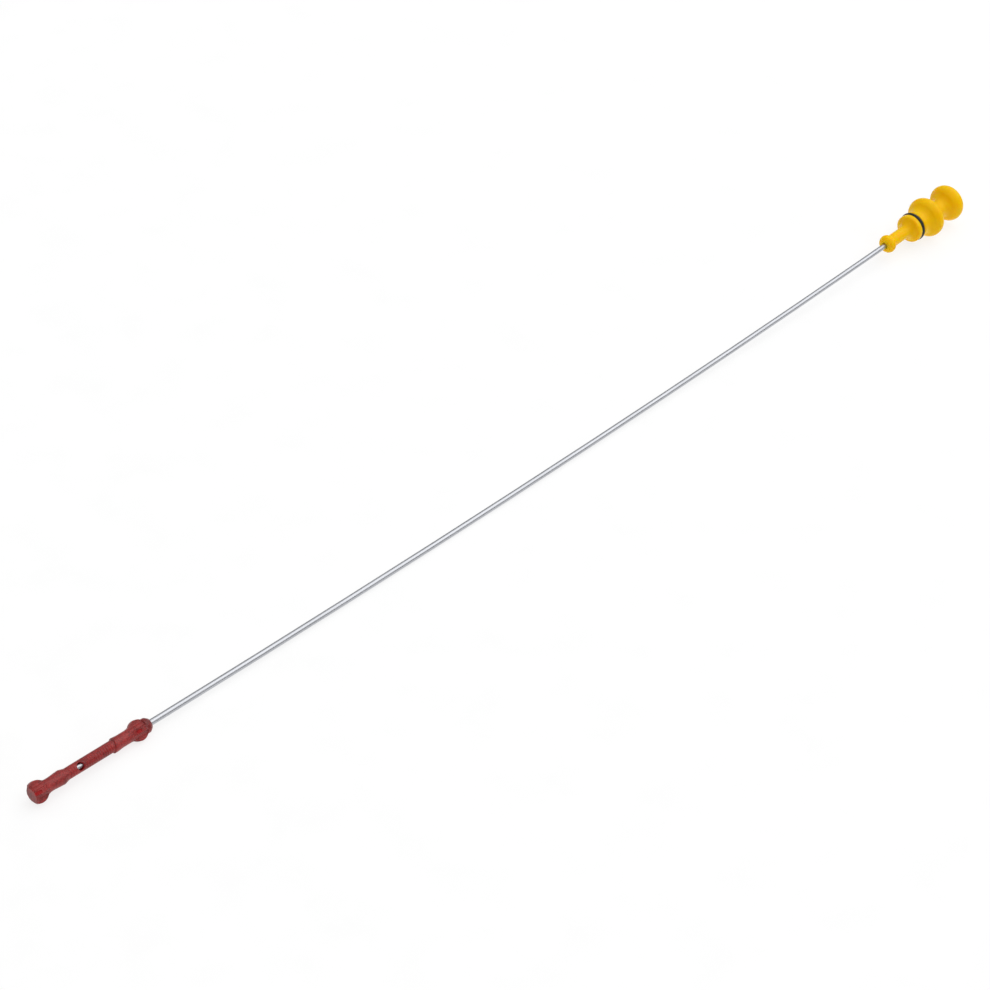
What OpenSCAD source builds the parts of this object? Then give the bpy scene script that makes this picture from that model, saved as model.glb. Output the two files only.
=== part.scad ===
// Engine oil dipstick: a bowed steel rod with a moulded handle, a seal ring and a moulded
// gauge tip. It lies on the plane Z = 0 along X, with the tip at -X and the handle at +X.

/* [Rod] */
// Diameter of the steel rod
rod_d = 3; // [2:0.1:3.4]
// Straight distance between the two mouldings
rod_free_l = 547.5; // [300:1:900]
// How far the middle of the rod bows below the line between the mouldings
rod_bow = 5; // [0.5:0.1:5]
// Distance of the rod's hidden end from the end of the gauge tip
rod_end_x = 16.5; // [12:0.5:20]
// Length of rod moulded into the handle
rod_in_handle = 34; // [20:1:50]
// Gap left round the hidden stretches, so that the bowed rod clears its straight holes
rod_gap = 0.07; // [0.06:0.01:0.1]

/* [Gauge tip] */
// Diameter of the body below the low mark
low_body_d = 6.2; // [6:0.1:6.8]
// Diameter of the shoulder that is the low mark
low_mark_d = 7; // [6.8:0.1:8]
// Distance of the low mark from the end
low_mark_x = 16; // [15:0.1:30]
// Length of the slope from the body up to the low mark
low_rise_l = 5.5; // [1:0.1:6]
// Length of the slope from the low mark down to the gauge stretch
low_slope_l = 2.9; // [1:0.1:3.2]
// Diameter of the gauge stretch between the marks
gauge_d = 5.5; // [5.2:0.1:6]
// Distance between the low mark and the high mark
gauge_l = 28.6; // [24:0.1:60]
// Diameter of the step that is the high mark
high_mark_d = 6.8; // [6.6:0.1:8]
// Slant of the step's face across the tip, in degrees
high_mark_slant = 13; // [0:1:15]
// Diameter of the body above the high mark
high_body_d = 6.2; // [6:0.1:6.6]
// Length of the tip above the high mark
upper_l = 20.9; // [19:0.1:40]
// Diameter of the collar behind the upper fins
tip_collar_d = 7.3; // [6.6:0.1:7.5]
// Distance of the collar's start from the rod's exit
tip_collar_l = 3.4; // [3.3:0.1:3.6]
// Length of the taper from the collar to the rod's exit
tip_taper_l = 1.6; // [0.8:0.1:2.2]
// Diameter of the tip at the rod's exit
tip_exit_d = 5.2; // [4.6:0.1:6.4]
// Diameter of the flat face at the end
end_face_d = 7; // [6.6:0.1:7.2]
// Diameter of the round plate behind this face
end_plate_d = 8.6; // [8.2:0.1:9]
// Length of the slope from the face to the plate's rim
end_slope_l = 0.8; // [0.6:0.1:1]
// Thickness of the plate with its slope
end_plate_l = 1.1; // [1.1:0.1:1.6]

/* [Guide fins] */
// Thickness of the crossed fins
fin_t = 2.4; // [2:0.1:3]
// Diameter across the fins at the end
low_fin_d = 10.3; // [9.6:0.1:12]
// Distance of their centre from the end
low_fin_x = 3; // [2.8:0.1:3.3]
// Diameter across the fins at the rod's exit
high_fin_d = 9.8; // [9:0.1:12]
// Distance of their centre from the rod's exit
high_fin_back = 6.6; // [6:0.1:6.8]
// Fillet that runs the fins out into the body
fin_fillet = 2.5; // [1:0.1:3]
// Length of the low tail that each fin leaves along the body
fin_tail = 2; // [0.5:0.1:3]
// Width of the slots in the rims
slot_w = 1.3; // [0.8:0.1:1.6]
// Depth of the slots
slot_depth = 0.5; // [0.3:0.1:0.8]
// Length of the slots at the end
low_slot_l = 3.8; // [3:0.1:4]
// How far these slots sit towards the end from the middle of the fins
low_slot_shift = 2; // [1:0.1:2.4]
// Length of the slots at the rod's exit
high_slot_l = 2.6; // [2:0.1:3.6]
// How far these slots sit towards the gauge stretch from the middle of the fins
high_slot_shift = 1.6; // [0.5:0.1:2.2]

/* [Grip grooves and window] */
// Pitch of the fine grooves across the gauge stretch
groove_pitch = 1.27; // [1:0.01:2]
// Width of a groove
groove_w = 0.55; // [0.4:0.05:0.8]
// Depth of a groove
groove_depth = 0.25; // [0.1:0.05:0.4]
// Width across the tip that the grooves cover
groove_span = 4.2; // [3:0.1:5]
// Plain length left between the marks and the first and last groove
groove_margin = 0.7; // [0.6:0.1:2]
// Distance of the window's centre from the low mark
window_step = 9.5; // [6:0.1:16]
// Clearance between the rod's side and the window's wall
window_gap = 0.35; // [0.15:0.05:0.5]
// Plain length left between the window and the nearest groove
window_margin = 0.6; // [0.4:0.1:2]

/* [Handle] */
// Diameter of the bead round the rod
bead_d = 10.5; // [9:0.1:12]
// Radius of the bead's rounded rim
bead_rim_r = 3; // [2:0.1:3.2]
// Diameter of the dimple in the bead's face
dimple_d = 4; // [3.6:0.1:4.4]
// Depth of the dimple
dimple_depth = 0.3; // [0.2:0.1:2]
// Diameter of the neck
neck_d = 7.3; // [6:0.1:8]
// Fillet between the bead and the neck
bead_fillet = 1.2; // [0.5:0.1:2]
// Fillet between the neck and the plug
plug_fillet = 4.8; // [2:0.1:6]
// Diameter of the plug that enters the dipstick tube
plug_d = 16.2; // [16:0.1:20]
// Rounding of the plug's front edge
plug_edge_r = 1.2; // [0.4:0.1:1.4]
// Rounding of the plug's rear edge
plug_rear_r = 0.5; // [0.3:0.1:0.6]
// Length of the plug in front of the ring's groove
plug_front_l = 3.1; // [2.4:0.1:4]
// Length of the plug behind the ring's groove
plug_rear_l = 1.7; // [1:0.1:2.6]
// Distance of the ring's centre from the bead's face
ring_x = 26.8; // [23:0.1:27.4]
// Thickness of the seal ring
ring_t = 2.4; // [1.8:0.1:2.8]
// How far the ring stands proud of the plug
ring_proud = 0.35; // [0.1:0.05:0.4]
// Clearance under the ring and at each side of it
ring_gap = 0.05; // [0.02:0.01:0.2]
// Diameter of the stem behind the plug
stem_d = 14; // [12:0.1:14.6]
// Fillet between the stem and the finger disc
stem_fillet = 5; // [3:0.1:6]
// Diameter of the finger disc
disc_d = 23.5; // [20:0.1:28]
// Radius of the finger disc's rounded rim
disc_rim_r = 4.2; // [3:0.1:4.5]
// Distance of the finger disc from the bead's face
disc_x = 40; // [39:0.1:44]
// Diameter of the waist between the disc and the knob
waist_d = 9.6; // [8:0.1:11]
// Fillets at both ends of the waist
waist_fillet = 5; // [3:0.1:5.4]
// Diameter of the end knob
knob_d = 21.5; // [18:0.1:26]
// Radius of the end knob's rounded rim
knob_rim_r = 4.5; // [3:0.1:4.8]
// Distance of the end knob from the finger disc
knob_step = 20.2; // [19.4:0.1:26]
// Radius of the knob's domed top
dome_r = 15.4; // [14:0.1:30]

/* [Hidden] */
$fn = 96;

// Places along the tip, from its end
high_mark_x = low_mark_x + gauge_l;
tip_l = high_mark_x + upper_l;
high_fin_x = tip_l - high_fin_back;
window_x = low_mark_x + window_step;
rod_in_tip = tip_l - rod_end_x;

// The whole rod is one arc. Each moulding's axis is the chord of the stretch that it holds.
arc_r = (pow(rod_free_l / 2, 2) + pow(rod_bow, 2)) / (2 * rod_bow);
free_half_turn = asin(rod_free_l / 2 / arc_r);
tip_share = rod_in_tip / arc_r * 180 / PI;
handle_share = rod_in_handle / arc_r * 180 / PI;
tip_slope = free_half_turn + tip_share / 2;
handle_slope = free_half_turn + handle_share / 2;
rod_facets = 3600;
rod_r = rod_d / 2;

// Crossed fins stand at this angle to the vertical, so the tip rests on two of them.
fin_turn = 45;
slot_lift = 0.2;
window_r = rod_r + window_gap;
low_slope_end = low_mark_x + low_slope_l;
high_taper_l = 3.3;
high_mark_lead = high_mark_d * tan(high_mark_slant);
tail_sink = 0.05;

// Largest angle between the points of a rounded outline, in degrees
round_step = 6;
knob_x = disc_x + knob_step;
plug_r = plug_d / 2;
plug_start = ring_x - ring_t / 2 - ring_gap - plug_front_l;
plug_end = ring_x + ring_t / 2 + ring_gap + plug_rear_l;
ring_outer_r = plug_r + ring_proud;
seat_r = ring_outer_r - ring_t - ring_gap;
knob_rim_y = knob_d / 2 - knob_rim_r;
dome_x = knob_x - sqrt(pow(dome_r - knob_rim_r, 2) - pow(knob_rim_y, 2));
dome_lean = atan2(knob_rim_y, knob_x - dome_x);

// Lowest reach of the fins and of the finger disc below their own axes.
function fin_drop(d) = d / 2 * cos(fin_turn) + fin_t / 2 * sin(fin_turn);
disc_drop = disc_d / 2;

// Points of the axis before the object is laid down, as [x, z].
function tip_at(x) = [-rod_free_l / 2 + (x - tip_l) * cos(tip_slope), (tip_l - x) * sin(tip_slope)];
function handle_at(x) = [rod_free_l / 2 + x * cos(handle_slope), x * sin(handle_slope)];

// Tilt at which the finger disc and one set of fins touch the ground together.
function lay_tilt(x, drop) =
    let (run = handle_at(disc_x) - tip_at(x))
    asin((disc_drop - drop) / norm(run)) - atan2(run[1], run[0]);

tilt = min(lay_tilt(low_fin_x, fin_drop(low_fin_d)), lay_tilt(high_fin_x, fin_drop(high_fin_d)));
function laid_x(p) = p[0] * cos(tilt) - p[1] * sin(tilt);
function laid_z(p) = p[0] * sin(tilt) + p[1] * cos(tilt);
lift = disc_drop - laid_z(handle_at(disc_x));
first_x = laid_x(tip_at(0));
last_x = laid_x(handle_at(dome_x)) + dome_r;

// Points of an arc round [x, y], from one angle to another.
function arc(x, y, r, from, to) =
    let (steps = ceil(abs(to - from) / round_step))
    [for (i = [0 : steps]) let (a = from + (to - from) * i / steps) [x + r * cos(a), y + r * sin(a)]];

function without_last(points) = [for (i = [0 : len(points) - 2]) points[i]];
function without_first(points) = [for (i = [1 : len(points) - 1]) points[i]];
function mirrored(points) = [for (i = [len(points) - 1 : -1 : 0]) [points[i][0], -points[i][1]]];

// A fillet runs a round rim, of radius rim_r about [x, y], into a shaft of radius shaft_r.
// Its reach is how far its foot lies from x, and its lean is where on the rim it starts.
function reach(y, rim_r, shaft_r, fillet) = sqrt(pow(rim_r + fillet, 2) - pow(shaft_r + fillet - y, 2));
function lean(y, rim_r, shaft_r, fillet) = asin((shaft_r + fillet - y) / (rim_r + fillet));

// Fillet from a shaft up to a rim, without the point that it shares with the rim.
function rise(x, y, rim_r, shaft_r, fillet) =
    without_last(arc(x - reach(y, rim_r, shaft_r, fillet), shaft_r + fillet, fillet,
        -90, -lean(y, rim_r, shaft_r, fillet)));

// Fillet from a rim down to a shaft, without the point that it shares with the rim.
function fall(x, y, rim_r, shaft_r, fillet) =
    without_first(arc(x + reach(y, rim_r, shaft_r, fillet), shaft_r + fillet, fillet,
        180 + lean(y, rim_r, shaft_r, fillet), 270));

// Lays the whole object on the ground, centred over the origin.
module lay() {
    translate([-(first_x + last_x) / 2, 0, lift]) rotate([0, -tilt, 0]) children();
}

// Carries the tip from its own axis to its end of the rod, with its end face at x = 0.
module at_tip() {
    translate([-rod_free_l / 2, 0, 0]) rotate([0, tip_slope, 0])
        translate([-tip_l, 0, 0]) rotate([fin_turn, 0, 0]) children();
}

// Carries the handle to its end of the rod, with the bead's face at x = 0.
module at_handle() {
    translate([rod_free_l / 2, 0, 0]) rotate([0, -handle_slope, 0]) children();
}

// Turns an outline about the X axis. Its x runs along the axis and its y is the radius.
module turned() {
    rotate([0, 90, 0]) rotate_extrude() mirror([1, -1]) children();
}

// Cylinder along X from x1 to x2.
module bar(x1, x2, r) {
    translate([x1, 0, 0]) rotate([0, 90, 0]) cylinder(r = r, h = x2 - x1);
}

module handle_outline() {
    bead_y = bead_d / 2 - bead_rim_r;
    edge_y = plug_r - plug_edge_r;
    disc_y = disc_d / 2 - disc_rim_r;
    groove_half = ring_t / 2 + ring_gap;
    neck_r = neck_d / 2;
    stem_r = stem_d / 2;
    waist_r = waist_d / 2;
    bead_lean = lean(bead_y, bead_rim_r, neck_r, bead_fillet);
    edge_lean = lean(edge_y, plug_edge_r, neck_r, plug_fillet);
    disc_front_lean = lean(disc_y, disc_rim_r, stem_r, stem_fillet);
    disc_rear_lean = lean(disc_y, disc_rim_r, waist_r, waist_fillet);
    knob_lean = lean(knob_rim_y, knob_rim_r, waist_r, waist_fillet);
    polygon(concat(
        [[0, 0]],
        arc(bead_rim_r, bead_y, bead_rim_r, 180, bead_lean),
        fall(bead_rim_r, bead_y, bead_rim_r, neck_r, bead_fillet),
        rise(plug_start + plug_edge_r, edge_y, plug_edge_r, neck_r, plug_fillet),
        arc(plug_start + plug_edge_r, edge_y, plug_edge_r, 180 - edge_lean, 90),
        [[ring_x - groove_half, plug_r], [ring_x - groove_half, seat_r]],
        [[ring_x + groove_half, seat_r], [ring_x + groove_half, plug_r]],
        arc(plug_end - plug_rear_r, plug_r - plug_rear_r, plug_rear_r, 90, 0),
        [[plug_end, stem_r]],
        rise(disc_x, disc_y, disc_rim_r, stem_r, stem_fillet),
        arc(disc_x, disc_y, disc_rim_r, 180 - disc_front_lean, disc_rear_lean),
        fall(disc_x, disc_y, disc_rim_r, waist_r, waist_fillet),
        rise(knob_x, knob_rim_y, knob_rim_r, waist_r, waist_fillet),
        arc(knob_x, knob_rim_y, knob_rim_r, 180 - knob_lean, dome_lean),
        without_first(arc(dome_x, 0, dome_r, dome_lean, 0))
    ));
}

module handle() {
    color([0.96, 0.76, 0.05]) lay() at_handle() difference() {
        turned() handle_outline();
        rotate([0, 90, 0])
            cylinder(r1 = dimple_d / 2, r2 = 0, h = dimple_depth * dimple_d / (dimple_d - rod_d));
        bar(-1, rod_in_handle + rod_gap, rod_r + rod_gap);
    }
}

module seal_ring() {
    color([0.13, 0.13, 0.14]) lay() at_handle() turned()
        translate([ring_x, ring_outer_r - ring_t / 2]) circle(ring_t / 2);
}

module rod() {
    color([0.74, 0.76, 0.79]) lay()
        translate([0, 0, arc_r - rod_bow]) rotate([90, 0, 0])
            rotate([0, 0, -90 - free_half_turn - tip_share])
                rotate_extrude(angle = 2 * free_half_turn + tip_share + handle_share, $fn = rod_facets)
                    translate([arc_r, 0]) circle(rod_r, $fn = 48);
}

// Turned body of the gauge tip, apart from the slanted step.
module tip_outline() {
    polygon([
        [0, 0],
        [0, end_face_d / 2],
        [end_slope_l, end_plate_d / 2],
        [end_plate_l, end_plate_d / 2],
        [end_plate_l, low_body_d / 2],
        [low_mark_x - low_rise_l, low_body_d / 2],
        [low_mark_x, low_mark_d / 2],
        [low_slope_end, gauge_d / 2],
        [tip_l - tip_collar_l, gauge_d / 2],
        [tip_l - tip_collar_l, tip_collar_d / 2],
        [tip_l - tip_taper_l, tip_collar_d / 2],
        [tip_l, tip_exit_d / 2],
        [tip_l, 0]
    ]);
}

// Body above the high mark, whose lower face is the slanted step.
module high_body() {
    difference() {
        turned() polygon([
            [high_mark_x - high_mark_lead, 0],
            [high_mark_x - high_mark_lead, high_mark_d / 2],
            [high_mark_x + high_mark_lead / 2, high_mark_d / 2],
            [high_mark_x + high_mark_lead / 2 + high_taper_l, high_body_d / 2],
            [tip_l - tip_collar_l, high_body_d / 2],
            [tip_l - tip_collar_l, 0]
        ]);
        translate([high_mark_x, 0, 0]) rotate([0, 0, -high_mark_slant])
            translate([-3 * high_mark_d, -high_mark_d, -high_mark_d])
                cube([3 * high_mark_d, 2 * high_mark_d, 2 * high_mark_d]);
    }
}

// Rim of the fins at the end, which slopes down to the end face, with a tail along the body.
function low_rim() =
    let (r = low_fin_d / 2, body_r = low_body_d / 2)
    concat(
        [[0, end_face_d / 2]],
        arc(low_fin_x, 0, r, acos((end_slope_l - low_fin_x) / r), lean(0, r, body_r, fin_fillet)),
        fall(low_fin_x, 0, r, body_r, fin_fillet),
        [[low_fin_x + reach(0, r, body_r, fin_fillet) + fin_tail, tail_y(body_r)]]
    );

// Rim of the fins at the rod's exit, with a tail along the body. They end in the collar.
function high_rim() =
    let (r = high_fin_d / 2, body_r = high_body_d / 2, collar_r = tail_y(tip_collar_d / 2))
    concat(
        [[high_fin_x - reach(0, r, body_r, fin_fillet) - fin_tail, tail_y(body_r)]],
        rise(high_fin_x, 0, r, body_r, fin_fillet),
        arc(high_fin_x, 0, r, 180 - lean(0, r, body_r, fin_fillet), asin(collar_r / r))
    );

// Height at which a fin's sides sink into the body.
function tail_y(body_r) = sqrt(pow(body_r, 2) - pow(fin_t / 2, 2)) - tail_sink;

// Crossed pair of fins from the outline of one rim.
module fins(rim) {
    for (turn = [0, 90]) rotate([turn, 0, 0])
        translate([0, 0, -fin_t / 2]) linear_extrude(fin_t)
            polygon(concat(rim, mirrored(rim)));
}

// Slots with round ends in both rims of the upright fins. Their floor runs round with the rim.
module rim_slots(x, shift, l, rim_r, body_r) {
    run = l - slot_w;
    difference() {
        for (way = [0, 1]) mirror([0, 0, way]) translate([x - shift, 0, body_r + slot_lift]) {
            translate([-run / 2, -slot_w / 2, 0]) cube([run, slot_w, rim_r]);
            for (end = [-run / 2, run / 2]) translate([end, 0, 0]) cylinder(d = slot_w, h = rim_r);
        }
        translate([x, slot_w, 0]) rotate([90, 0, 0]) cylinder(r = rim_r - slot_depth, h = 2 * slot_w);
    }
}

// Fine grooves across both faces of the gauge stretch, clear of the window.
module gauge_grooves() {
    first = low_slope_end + groove_margin;
    last = high_mark_x - high_mark_lead / 2 - groove_margin;
    clear_l = window_r + window_margin + groove_w / 2;
    for (x = [first : groove_pitch : last])
        if (abs(x - window_x) > clear_l)
            difference() {
                translate([x - groove_w / 2, -groove_span / 2, -gauge_d])
                    cube([groove_w, groove_span, 2 * gauge_d]);
                bar(x - groove_w, x + groove_w, gauge_d / 2 - groove_depth);
            }
}

module gauge_tip() {
    color([0.62, 0.22, 0.2]) lay() at_tip() difference() {
        union() {
            turned() tip_outline();
            high_body();
            fins(low_rim());
            fins(high_rim());
        }
        rim_slots(low_fin_x, low_slot_shift, low_slot_l, low_fin_d / 2, low_body_d / 2);
        rim_slots(high_fin_x, high_slot_shift, high_slot_l, high_fin_d / 2, high_body_d / 2);
        gauge_grooves();
        translate([window_x, 0, -gauge_d]) cylinder(r = window_r, h = 2 * gauge_d);
        bar(tip_l - rod_in_tip - rod_gap, tip_l + 1, rod_r + rod_gap);
    }
}

handle();
seal_ring();
rod();
gauge_tip();
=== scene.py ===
import math

import bmesh
import bpy
from mathutils import Matrix, Vector


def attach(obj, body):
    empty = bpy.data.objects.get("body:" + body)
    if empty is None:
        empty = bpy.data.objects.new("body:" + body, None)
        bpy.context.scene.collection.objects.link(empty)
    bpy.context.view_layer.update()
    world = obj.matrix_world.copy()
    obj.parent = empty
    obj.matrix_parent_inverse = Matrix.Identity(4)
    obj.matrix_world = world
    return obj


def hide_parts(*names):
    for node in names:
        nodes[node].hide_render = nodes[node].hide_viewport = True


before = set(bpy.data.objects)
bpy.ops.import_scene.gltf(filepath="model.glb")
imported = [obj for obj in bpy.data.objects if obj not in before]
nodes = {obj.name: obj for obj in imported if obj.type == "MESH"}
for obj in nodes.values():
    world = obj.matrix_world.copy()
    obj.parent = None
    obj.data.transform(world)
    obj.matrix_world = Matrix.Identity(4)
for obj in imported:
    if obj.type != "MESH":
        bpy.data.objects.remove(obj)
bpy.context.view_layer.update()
scene = bpy.context.scene
print("stage: frame loaded")

# Camera: where the photo was taken from. Here and below, angles are in degrees and lengths
# in metres, apart from the lens and the sensor, which are in millimetres.
cameraSetup = {
    "azimuth": -50.31,
    "elevation": 40.36,
    "roll": 5.46,
    "distance": 1.2341,
    "target": (-0.05103, 0.0, 0.00916),
    "lens": 91.03,
    "sensor": 36.0,
    "nearest": 0.05,
    "farthest": 20.0,
}


def cameraAxes(setup):
    azimuth = math.radians(setup["azimuth"])
    elevation = math.radians(setup["elevation"])
    back = Vector((
        math.sin(azimuth) * math.cos(elevation),
        -math.cos(azimuth) * math.cos(elevation),
        math.sin(elevation),
    ))
    right = Vector((0, 0, 1)).cross(back).normalized()
    up = back.cross(right)
    turn = math.radians(setup["roll"])
    return (
        right * math.cos(turn) + up * math.sin(turn),
        up * math.cos(turn) - right * math.sin(turn),
        back,
    )


def placeAlong(right, up, back, place):
    rows = [[right[i], up[i], back[i], place[i]] for i in range(3)]
    return Matrix(rows + [[0, 0, 0, 1]])


cameraRight, cameraUp, cameraBack = cameraAxes(cameraSetup)
cameraTarget = Vector(cameraSetup["target"])
cameraData = bpy.data.cameras.new("camera")
cameraData.lens = cameraSetup["lens"]
cameraData.sensor_width = cameraSetup["sensor"]
cameraData.clip_start = cameraSetup["nearest"]
cameraData.clip_end = cameraSetup["farthest"]
camera = bpy.data.objects.new("camera", cameraData)
scene.collection.objects.link(camera)
camera.matrix_world = placeAlong(
    cameraRight, cameraUp, cameraBack, cameraTarget + cameraBack * cameraSetup["distance"]
)
scene.camera = camera
print("stage: camera set")


# Materials: one dictionary of looks for each piece, beside its code.


def newMaterial(name):
    material = bpy.data.materials.new(name)
    material.use_nodes = True
    tree = material.node_tree
    shader = tree.nodes["Principled BSDF"]
    return material, tree, shader


def addNode(tree, kind, **settings):
    node = tree.nodes.new(kind)
    for key, value in settings.items():
        setattr(node, key, value)
    return node


def objectNoise(tree, scale, detail, stretch=(1.0, 1.0, 1.0)):
    place = addNode(tree, "ShaderNodeTexCoord")
    mapping = addNode(tree, "ShaderNodeMapping")
    mapping.inputs["Scale"].default_value = stretch
    noise = addNode(tree, "ShaderNodeTexNoise")
    noise.inputs["Scale"].default_value = scale
    noise.inputs["Detail"].default_value = detail
    tree.links.new(place.outputs["Object"], mapping.inputs["Vector"])
    tree.links.new(mapping.outputs["Vector"], noise.inputs["Vector"])
    return noise


def colourRamp(tree, source, dark, light, low=0.3, high=0.7):
    ramp = addNode(tree, "ShaderNodeValToRGB")
    first, last = ramp.color_ramp.elements
    first.position, first.color = low, (*dark, 1.0)
    last.position, last.color = high, (*light, 1.0)
    tree.links.new(source, ramp.inputs["Fac"])
    return ramp.outputs["Color"]


def rangeOf(tree, source, low, high):
    spread = addNode(tree, "ShaderNodeMapRange")
    spread.inputs["To Min"].default_value = low
    spread.inputs["To Max"].default_value = high
    tree.links.new(source, spread.inputs["Value"])
    return spread.outputs["Result"]


def addBump(tree, shader, source, look):
    bump = addNode(tree, "ShaderNodeBump")
    bump.inputs["Strength"].default_value = look["grain"]
    bump.inputs["Distance"].default_value = look["grainDepth"]
    tree.links.new(source, bump.inputs["Height"])
    tree.links.new(bump.outputs["Normal"], shader.inputs["Normal"])


# Light goes a little way into the yellow, and its red part goes furthest.
yellowLook = {
    "dark": (0.86, 0.48, 0.0),
    "light": (0.93, 0.56, 0.0),
    "roughness": (0.22, 0.32),
    "gloss": 0.1,
    "depth": 0.7,
    "reach": (1.0, 0.5, 0.1),
    "reachScale": 0.0018,
    "cloudScale": 60.0,
    "grainScale": 2200.0,
    "grain": 0.1,
    "grainDepth": 0.00003,
}


def yellowMoulding():
    material, tree, shader = newMaterial("yellow_moulding")
    cloud = objectNoise(tree, yellowLook["cloudScale"], 3.0)
    grain = objectNoise(tree, yellowLook["grainScale"], 2.0)
    tree.links.new(
        colourRamp(tree, cloud.outputs["Fac"], yellowLook["dark"], yellowLook["light"]),
        shader.inputs["Base Color"],
    )
    tree.links.new(
        rangeOf(tree, cloud.outputs["Fac"], *yellowLook["roughness"]), shader.inputs["Roughness"]
    )
    shader.inputs["Specular IOR Level"].default_value = yellowLook["gloss"]
    shader.inputs["Subsurface Weight"].default_value = yellowLook["depth"]
    shader.inputs["Subsurface Radius"].default_value = yellowLook["reach"]
    shader.inputs["Subsurface Scale"].default_value = yellowLook["reachScale"]
    addBump(tree, shader, grain.outputs["Fac"], yellowLook)
    return material


rubberLook = {
    "dark": (0.011, 0.010, 0.009),
    "light": (0.019, 0.017, 0.015),
    "roughness": (0.4, 0.52),
    "gloss": 0.35,
    "grainScale": 900.0,
    "grain": 0.1,
    "grainDepth": 0.00003,
}


def blackRubber():
    material, tree, shader = newMaterial("black_rubber")
    grain = objectNoise(tree, rubberLook["grainScale"], 3.0)
    tree.links.new(
        colourRamp(tree, grain.outputs["Fac"], rubberLook["dark"], rubberLook["light"]),
        shader.inputs["Base Color"],
    )
    tree.links.new(
        rangeOf(tree, grain.outputs["Fac"], *rubberLook["roughness"]), shader.inputs["Roughness"]
    )
    shader.inputs["Specular IOR Level"].default_value = rubberLook["gloss"]
    addBump(tree, shader, grain.outputs["Fac"], rubberLook)
    return material


# The steel's fine lines run along the rod.
steelLook = {
    "dark": (0.43, 0.44, 0.465),
    "light": (0.51, 0.52, 0.55),
    "lines": (18.0, 2600.0, 2600.0),
    "stainScale": 14.0,
    "roughness": (0.26, 0.36),
    "grain": 0.08,
    "grainDepth": 0.00004,
}


def drawnSteel():
    material, tree, shader = newMaterial("drawn_steel")
    lines = objectNoise(tree, 1.0, 4.0, steelLook["lines"])
    stains = objectNoise(tree, steelLook["stainScale"], 3.0)
    tree.links.new(
        colourRamp(tree, lines.outputs["Fac"], steelLook["dark"], steelLook["light"]),
        shader.inputs["Base Color"],
    )
    tree.links.new(
        rangeOf(tree, stains.outputs["Fac"], *steelLook["roughness"]), shader.inputs["Roughness"]
    )
    shader.inputs["Metallic"].default_value = 1.0
    addBump(tree, shader, lines.outputs["Fac"], steelLook)
    return material


# The red moulding has a dull, slightly mottled skin. Its slots, window and grooves get a painted
# shade: a deeper, more saturated red that stands in for the shadow and red bounce light inside
# them.
redLook = {
    "dark": (0.14, 0.011, 0.011),
    "light": (0.36, 0.029, 0.027),
    # Painted shade: the deep red put in the slots, the window and the grooves in place of their
    # shadow and bounce light.
    "recessShade": (0.38, 0.002, 0.004),
    "roughness": (0.3, 0.46),
    "gloss": 0.35,
    "cloudScale": 140.0,
    "mottleScale": 1500.0,
    "mottleShare": 0.5,
    "ramp": (0.4, 0.6),
    "grain": 0.35,
    "grainDepth": 0.00004,
}


def redMoulding():
    material, tree, shader = newMaterial("red_moulding")
    cloud = objectNoise(tree, redLook["cloudScale"], 4.0)
    mottle = objectNoise(tree, redLook["mottleScale"], 3.0)
    cloudPart = addNode(tree, "ShaderNodeMath", operation="MULTIPLY")
    cloudPart.inputs[1].default_value = 1 - redLook["mottleShare"]
    tree.links.new(cloud.outputs["Fac"], cloudPart.inputs[0])
    skin = addNode(tree, "ShaderNodeMath", operation="MULTIPLY_ADD")
    skin.inputs[1].default_value = redLook["mottleShare"]
    tree.links.new(mottle.outputs["Fac"], skin.inputs[0])
    tree.links.new(cloudPart.outputs["Value"], skin.inputs[2])
    skinColour = colourRamp(
        tree, skin.outputs["Value"], redLook["dark"], redLook["light"], *redLook["ramp"]
    )
    # The recess mask mixes this painted shade into the skin colour.
    recessShade = addNode(tree, "ShaderNodeAttribute", attribute_name="recessShade")
    colour = addNode(tree, "ShaderNodeMix", data_type="RGBA")
    openSkin, paintedShadeSkin, mixed = colour.inputs[6], colour.inputs[7], colour.outputs[2]
    tree.links.new(recessShade.outputs["Fac"], colour.inputs["Factor"])
    tree.links.new(skinColour, openSkin)
    paintedShadeSkin.default_value = (*redLook["recessShade"], 1.0)
    tree.links.new(mixed, shader.inputs["Base Color"])
    tree.links.new(
        rangeOf(tree, cloud.outputs["Fac"], *redLook["roughness"]), shader.inputs["Roughness"]
    )
    shader.inputs["Specular IOR Level"].default_value = redLook["gloss"]
    addBump(tree, shader, mottle.outputs["Fac"], redLook)
    return material


# The floor is a light table: most of its white is its own light, so shadows stay faint.
tableLook = {
    "dark": (0.2, 0.2, 0.2),
    "light": (0.22, 0.22, 0.22),
    "grainScale": 40.0,
    "roughness": 0.9,
    "gloss": 0.1,
    "glow": 0.79,
    "size": 24.0,
    "height": -0.0002,
}


def paleTable():
    material, tree, shader = newMaterial("pale_table")
    grain = objectNoise(tree, tableLook["grainScale"], 3.0)
    tree.links.new(
        colourRamp(tree, grain.outputs["Fac"], tableLook["dark"], tableLook["light"]),
        shader.inputs["Base Color"],
    )
    shader.inputs["Roughness"].default_value = tableLook["roughness"]
    shader.inputs["Specular IOR Level"].default_value = tableLook["gloss"]
    shader.inputs["Emission Color"].default_value = (1.0, 1.0, 1.0, 1.0)
    shader.inputs["Emission Strength"].default_value = tableLook["glow"]
    return material


finishes = {
    "handle": yellowMoulding(),
    "seal_ring": blackRubber(),
    "rod": drawnSteel(),
    "gauge_tip": redMoulding(),
}
print("stage: materials")


# Pieces: the two mouldings get the soft edges that a mould gives, and the ring and the rod
# keep their solids.


def dress(name, finish):
    piece = nodes[name]
    if not piece.material_slots:
        piece.data.materials.append(finish)
    for slot in piece.material_slots:
        slot.material = finish


weldDistance = 1e-6
easeShare = 0.5


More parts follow.
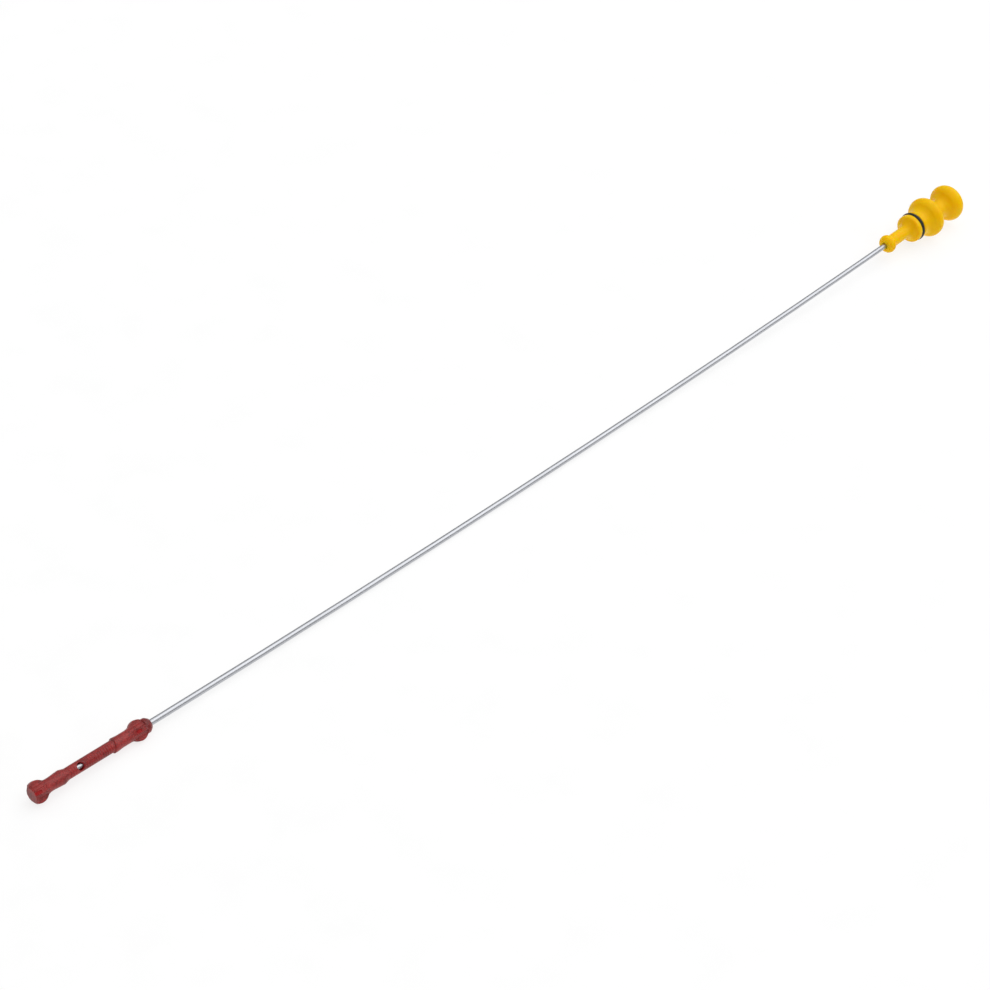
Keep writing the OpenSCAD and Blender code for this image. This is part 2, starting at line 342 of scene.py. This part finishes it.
def softMoulding(name, look):
    shape = bmesh.new()
    shape.from_mesh(nodes[name].data)
    bmesh.ops.remove_doubles(shape, verts=shape.verts, dist=weldDistance)
    rough = bpy.data.meshes.new(name + "_rough")
    shape.to_mesh(rough)
    shape.free()
    piece = bpy.data.objects.new(look["name"], rough)
    scene.collection.objects.link(piece)
    grid = piece.modifiers.new("grid", "REMESH")
    grid.mode = "VOXEL"
    grid.voxel_size = look["voxel"]
    grid.use_smooth_shade = True
    ease = piece.modifiers.new("ease", "SMOOTH")
    ease.factor = easeShare
    ease.iterations = look["passes"]
    finished = bpy.data.meshes.new_from_object(
        piece.evaluated_get(bpy.context.evaluated_depsgraph_get())
    )
    piece.modifiers.clear()
    piece.data = finished
    finished.materials.clear()
    finished.materials.append(finishes[name])
    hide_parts(name)
    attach(piece, "root")
    print("stage:", look["name"], len(finished.polygons), "faces")
    return piece


# The plastic grips the rod: the wall of its hole is drawn in to just outside the rod. The hole
# is found by a point on its axis and the way to its mouth.
def gripRod(piece, look):
    toMouth = Vector(look["toMouth"]).normalized()
    onAxis = Vector(look["onAxis"])
    alongs = [(vertex.co - onAxis).dot(toMouth) for vertex in piece.data.vertices]
    deepest = max(alongs) - look["holeLength"]
    inner, outer = look["holeWall"]
    drawn = 0
    for vertex, along in zip(piece.data.vertices, alongs):
        away = vertex.co - onAxis - toMouth * along
        if along > deepest and inner < away.length < outer:
            vertex.co -= away * (1 - look["gripRadius"] / away.length)
            drawn += 1
    print("stage:", look["name"], "grips the rod with", drawn, "points")


handleLook = {
    "name": "soft_handle",
    "voxel": 0.00028,
    "passes": 3,
    "slot": "yellow_moulding",
    "onAxis": (0.297737, 0.0, 0.010994),
    "toMouth": (-0.998793, 0.0, -0.049123),
    "holeLength": 0.034,
    "holeWall": (0.0014, 0.00185),
    "gripRadius": 0.00155,
}
gripRod(softMoulding("handle", handleLook), handleLook)

# Places along the tip run from its end face, where its point on the axis lies, and its fins are
# turned by 45 degrees. The shade shares say how strongly the painted shade of the recesses shows.
tipLook = {
    "name": "soft_gauge_tip",
    "voxel": 0.00017,
    "passes": 4,
    "slot": "red_moulding",
    "turn": 45.0,
    "onAxis": (-0.339775, 0.0, 0.006047),
    "toMouth": (0.999567, 0.0, -0.02944),
    "holeLength": 0.0488,
    "holeWall": (0.0014, 0.00185),
    "gripRadius": 0.00155,
    "rimSlots": (
        {"from": -0.001, "to": 0.003, "rimCentre": 0.003, "rim": 0.00515},
        {"from": 0.0559, "to": 0.0587, "rimCentre": 0.0589, "rim": 0.0049},
    ),
    "slotHalf": 0.00075,
    "slotFloor": 0.003,
    "slotDepth": 0.0002,
    # The window's wall and the groove floors get the painted shade too, more faintly in the
    # grooves.
    "window": {"at": 0.0255, "radius": 0.0020, "mark": 0.7},
    "grooves": {
        "from": 0.0192,
        "to": 0.0436,
        "radius": 0.00275,
        "depth": 0.00008,
        "start": 0.5,
        "mark": 0.22,
    },
}


# How much painted shade, a deeper red in place of shadow, a point of the tip shows, from 0 on the
# open skin to 1 in a slot.
def recessShadeAt(place, axes, look):
    x, y, z = (place.dot(axis) for axis in axes)
    for cut in look["rimSlots"]:
        inFin = math.hypot(x - cut["rimCentre"], z)
        inSlot = cut["from"] < x < cut["to"] and abs(y) < look["slotHalf"]
        if inSlot and abs(z) > look["slotFloor"] and inFin < cut["rim"] - look["slotDepth"]:
            return 1.0
    if math.hypot(x - look["window"]["at"], y) < look["window"]["radius"]:
        return look["window"]["mark"]
    grooves = look["grooves"]
    if grooves["from"] < x < grooves["to"]:
        sunk = grooves["radius"] - math.hypot(y, z)
        share = sunk / grooves["depth"] - grooves["start"]
        return min(max(share, 0.0), 1.0) * grooves["mark"]
    return 0.0


def markRecesses(piece, look):
    along = Vector(look["toMouth"]).normalized()
    side = Vector((0, 1, 0))
    rise = along.cross(side)
    turn = math.radians(look["turn"])
    axes = (
        along,
        side * math.cos(turn) + rise * math.sin(turn),
        rise * math.cos(turn) - side * math.sin(turn),
    )
    end = Vector(look["onAxis"])
    # Painted shade: each point's share of the deep red that stands in for shadow in the recesses.
    shadeShares = [recessShadeAt(vertex.co - end, axes, look) for vertex in piece.data.vertices]
    recessShade = piece.data.attributes.new("recessShade", "FLOAT", "POINT")
    recessShade.data.foreach_set("value", shadeShares)
    print("stage: recesses marked on", sum(depth > 0 for depth in shadeShares), "points")


softTip = softMoulding("gauge_tip", tipLook)
gripRod(softTip, tipLook)
markRecesses(softTip, tipLook)

for name in ("seal_ring", "rod"):
    dress(name, finishes[name])


# Floor and light.

floorMesh = bpy.data.meshes.new("floor")
half = tableLook["size"] / 2
floorMesh.from_pydata(
    [(-half, -half, 0), (half, -half, 0), (half, half, 0), (-half, half, 0)], [], [(0, 1, 2, 3)]
)
floor = bpy.data.objects.new("floor", floorMesh)
floor.location = (0, 0, tableLook["height"])
floor.data.materials.append(paleTable())
scene.collection.objects.link(floor)

# The studio is darker at the horizon and brighter overhead.
studioLook = {"horizon": 0.12, "zenith": 1.05}

world = bpy.data.worlds.new("studio")
world.use_nodes = True
studio = world.node_tree
direction = addNode(studio, "ShaderNodeTexCoord")
parts = addNode(studio, "ShaderNodeSeparateXYZ")
height = addNode(studio, "ShaderNodeMapRange")
height.inputs["To Min"].default_value = studioLook["horizon"]
height.inputs["To Max"].default_value = studioLook["zenith"]
backdrop = studio.nodes["Background"]
backdrop.inputs["Color"].default_value = (1.0, 1.0, 1.0, 1.0)
studio.links.new(direction.outputs["Generated"], parts.inputs["Vector"])
studio.links.new(parts.outputs["Z"], height.inputs["Value"])
studio.links.new(height.outputs["Result"], backdrop.inputs["Strength"])
scene.world = world

# Each light stands off the middle of the object, by right, up and back of the camera.
lights = {
    "key": {"place": (2.4, 2.9, 1.3), "size": 4.6, "power": 72.0},
    "front": {"place": (-2.4, 0.5, 3.4), "size": 2.0, "power": 4.0},
}
for name, light in lights.items():
    data = bpy.data.lights.new(name, "AREA")
    data.size = light["size"]
    data.energy = light["power"]
    lamp = bpy.data.objects.new(name, data)
    offset = sum(
        (axis * share for axis, share in zip((cameraRight, cameraUp, cameraBack), light["place"])),
        Vector((0, 0, 0)),
    )
    away = offset.normalized()
    side = Vector((0, 0, 1)).cross(away).normalized()
    lamp.matrix_world = placeAlong(side, away.cross(side), away, offset)
    scene.collection.objects.link(lamp)
print("stage: floor and light")

scene.view_settings.view_transform = "Standard"
